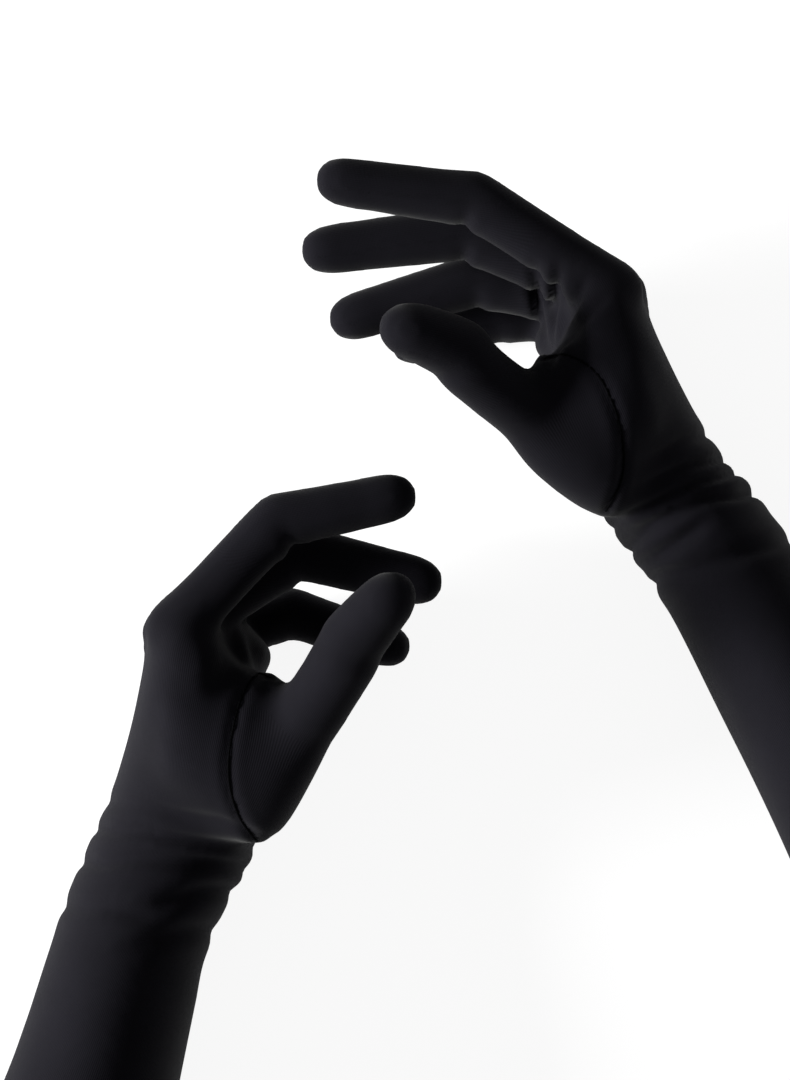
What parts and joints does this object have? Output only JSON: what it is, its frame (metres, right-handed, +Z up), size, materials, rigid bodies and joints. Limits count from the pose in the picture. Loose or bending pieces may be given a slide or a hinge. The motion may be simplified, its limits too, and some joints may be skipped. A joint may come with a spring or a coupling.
{
  "type": "opera gloves",
  "caption": "Pair of long black stretch-knit opera gloves with set-in thumbs and plain hems, shaped as if worn and lying on their sides.",
  "frame": {"origin": "on the floor, under the middle of the pair", "axes": "+Z up from the floor through the thumb sides of the gloves; +Y the way the fingers point, away from the hems; +X towards the right glove"},
  "size_m": [0.533, 0.5678, 0.0914],
  "materials": {
    "knit": "matte stretch knit",
    "knit_inside": "matte knit, wrong side",
    "thread": "matte sewing thread"
  },
  "bodies": {
    "left_forearm": {"left_forearm_sleeve": "knit", "left_forearm_seam": "knit_inside"},
    "left_upper_arm": {"left_upper_sleeve": "knit", "left_hem_band": "knit_inside", "left_hem_stitch_outer": "thread", "left_hem_stitch_inner": "thread", "left_upper_seam": "knit_inside"},
    "left_hand": {"left_hand": "knit", "left_thumb_gusset": "knit", "left_thumb_seam": "thread", "left_hand_seam": "knit_inside"},
    "left_little_base": {"left_little_base": "knit"},
    "left_little_tip": {"left_little_tip": "knit"},
    "left_ring_base": {"left_ring_base": "knit"},
    "left_ring_tip": {"left_ring_tip": "knit"},
    "left_middle_base": {"left_middle_base": "knit"},
    "left_middle_tip": {"left_middle_tip": "knit"},
    "left_index_base": {"left_index_base": "knit"},
    "left_index_tip": {"left_index_tip": "knit"},
    "left_thumb_base": {"left_thumb_base": "knit"},
    "left_thumb_tip": {"left_thumb_tip": "knit"},
    "right_forearm": {"right_forearm_sleeve": "knit", "right_forearm_seam": "knit_inside"},
    "right_upper_arm": {"right_upper_sleeve": "knit", "right_hem_band": "knit_inside", "right_hem_stitch_outer": "thread", "right_hem_stitch_inner": "thread", "right_upper_seam": "knit_inside"},
    "right_hand": {"right_hand": "knit", "right_thumb_gusset": "knit", "right_thumb_seam": "thread", "right_hand_seam": "knit_inside"},
    "right_little_base": {"right_little_base": "knit"},
    "right_little_tip": {"right_little_tip": "knit"},
    "right_ring_base": {"right_ring_base": "knit"},
    "right_ring_tip": {"right_ring_tip": "knit"},
    "right_middle_base": {"right_middle_base": "knit"},
    "right_middle_tip": {"right_middle_tip": "knit"},
    "right_index_base": {"right_index_base": "knit"},
    "right_index_tip": {"right_index_tip": "knit"},
    "right_thumb_base": {"right_thumb_base": "knit"},
    "right_thumb_tip": {"right_thumb_tip": "knit"}
  },
  "joints": [
    {"name": "left_elbow", "type": "hinge", "parent": "left_forearm", "child": "left_upper_arm", "pos_m": [-0.18451, -0.13944, 0.03918], "axis": [-0.9426, 0.3338, 0], "range_deg": [0, 65]},
    {"name": "left_wrist", "type": "hinge", "parent": "left_forearm", "child": "left_hand", "pos_m": [-0.10439, 0.08679, 0], "axis": [0, 0, -1], "range_deg": [-32, 30]},
    {"name": "left_little_knuckle", "type": "hinge", "parent": "left_hand", "child": "left_little_base", "pos_m": [-0.09957, 0.14707, 0.0109], "axis": [0, 0, -1], "range_deg": [-73, 7]},
    {"name": "left_little_joint", "type": "hinge", "parent": "left_little_base", "child": "left_little_tip", "pos_m": [-0.06678, 0.15604, 0.0109], "axis": [0, 0, -1], "range_deg": [-34, 40]},
    {"name": "left_ring_knuckle", "type": "hinge", "parent": "left_hand", "child": "left_ring_base", "pos_m": [-0.09903, 0.14968, 0.0277], "axis": [0, 0, -1], "range_deg": [-57, 23]},
    {"name": "left_ring_joint", "type": "hinge", "parent": "left_ring_base", "child": "left_ring_tip", "pos_m": [-0.06656, 0.16942, 0.0277], "axis": [0, 0, -1], "range_deg": [-46, 28]},
    {"name": "left_middle_knuckle", "type": "hinge", "parent": "left_hand", "child": "left_middle_base", "pos_m": [-0.09849, 0.15229, 0.0445], "axis": [0, 0, -1], "range_deg": [-55, 25]},
    {"name": "left_middle_joint", "type": "hinge", "parent": "left_middle_base", "child": "left_middle_tip", "pos_m": [-0.06506, 0.17425, 0.0445], "axis": [0, 0, -1], "range_deg": [-47, 27]},
    {"name": "left_index_knuckle", "type": "hinge", "parent": "left_hand", "child": "left_index_base", "pos_m": [-0.09795, 0.1549, 0.0613], "axis": [0, 0, -1], "range_deg": [-45, 15]},
    {"name": "left_index_joint", "type": "hinge", "parent": "left_index_base", "child": "left_index_tip", "pos_m": [-0.06913, 0.18206, 0.0613], "axis": [0, 0, -1], "range_deg": [-31, 39]},
    {"name": "left_thumb_knuckle", "type": "hinge", "parent": "left_hand", "child": "left_thumb_base", "pos_m": [-0.06404, 0.12662, 0.06198], "axis": [0.2284, 0.3924, -0.891], "range_deg": [-12.5, 21.5]},
    {"name": "left_thumb_joint", "type": "hinge", "parent": "left_thumb_base", "child": "left_thumb_tip", "pos_m": [-0.04972, 0.14866, 0.07536], "axis": [0.2284, 0.3924, -0.891], "range_deg": [-10, 32]},
    {"name": "right_glove_apart", "type": "slide", "parent": "left_forearm", "child": "right_forearm", "axis": [0, 0, 1], "range_m": [0, 0.15]},
    {"name": "right_elbow", "type": "hinge", "parent": "right_forearm", "child": "right_upper_arm", "pos_m": [0.16411, -0.02225, 0.03918], "axis": [-0.866, -0.5, 0], "range_deg": [0, 65]},
    {"name": "right_wrist", "type": "hinge", "parent": "right_forearm", "child": "right_hand", "pos_m": [0.04411, 0.18559, 0], "axis": [0, 0, 1], "range_deg": [-34, 12]},
    {"name": "right_little_knuckle", "type": "hinge", "parent": "right_hand", "child": "right_little_base", "pos_m": [0.02655, 0.24346, 0.0109], "axis": [0, 0, 1], "range_deg": [-77, 8]},
    {"name": "right_little_joint", "type": "hinge", "parent": "right_little_base", "child": "right_little_tip", "pos_m": [-0.00744, 0.24286, 0.0109], "axis": [0, 0, 1], "range_deg": [-16, 58]},
    {"name": "right_ring_knuckle", "type": "hinge", "parent": "right_hand", "child": "right_ring_base", "pos_m": [0.02547, 0.24589, 0.0277], "axis": [0, 0, 1], "range_deg": [-66, 14]},
    {"name": "right_ring_joint", "type": "hinge", "parent": "right_ring_base", "child": "right_ring_tip", "pos_m": [-0.01392, 0.25284, 0.0277], "axis": [0, 0, 1], "range_deg": [-28, 46]},
    {"name": "right_middle_knuckle", "type": "hinge", "parent": "right_hand", "child": "right_middle_base", "pos_m": [0.02439, 0.24833, 0.0445], "axis": [0, 0, 1], "range_deg": [-53, 27]},
    {"name": "right_middle_joint", "type": "hinge", "parent": "right_middle_base", "child": "right_middle_tip", "pos_m": [-0.01658, 0.26572, 0.0445], "axis": [0, 0, 1], "range_deg": [-31, 43]},
    {"name": "right_index_knuckle", "type": "hinge", "parent": "right_hand", "child": "right_index_base", "pos_m": [0.0233, 0.25077, 0.0613], "axis": [0, 0, 1], "range_deg": [-43.6, 24.4]},
    {"name": "right_index_joint", "type": "hinge", "parent": "right_index_base", "child": "right_index_tip", "pos_m": [-0.01478, 0.27493, 0.0613], "axis": [0, 0, 1], "range_deg": [-27, 47]},
    {"name": "right_thumb_knuckle", "type": "hinge", "parent": "right_hand", "child": "right_thumb_base", "pos_m": [0.00473, 0.21642, 0.06198], "axis": [0.3067, -0.3347, 0.891], "range_deg": [-22.5, 17.5]},
    {"name": "right_thumb_joint", "type": "hinge", "parent": "right_thumb_base", "child": "right_thumb_tip", "pos_m": [-0.01732, 0.23103, 0.07505], "axis": [0.3067, -0.3347, 0.891], "range_deg": [-19, 26]}
  ]
}
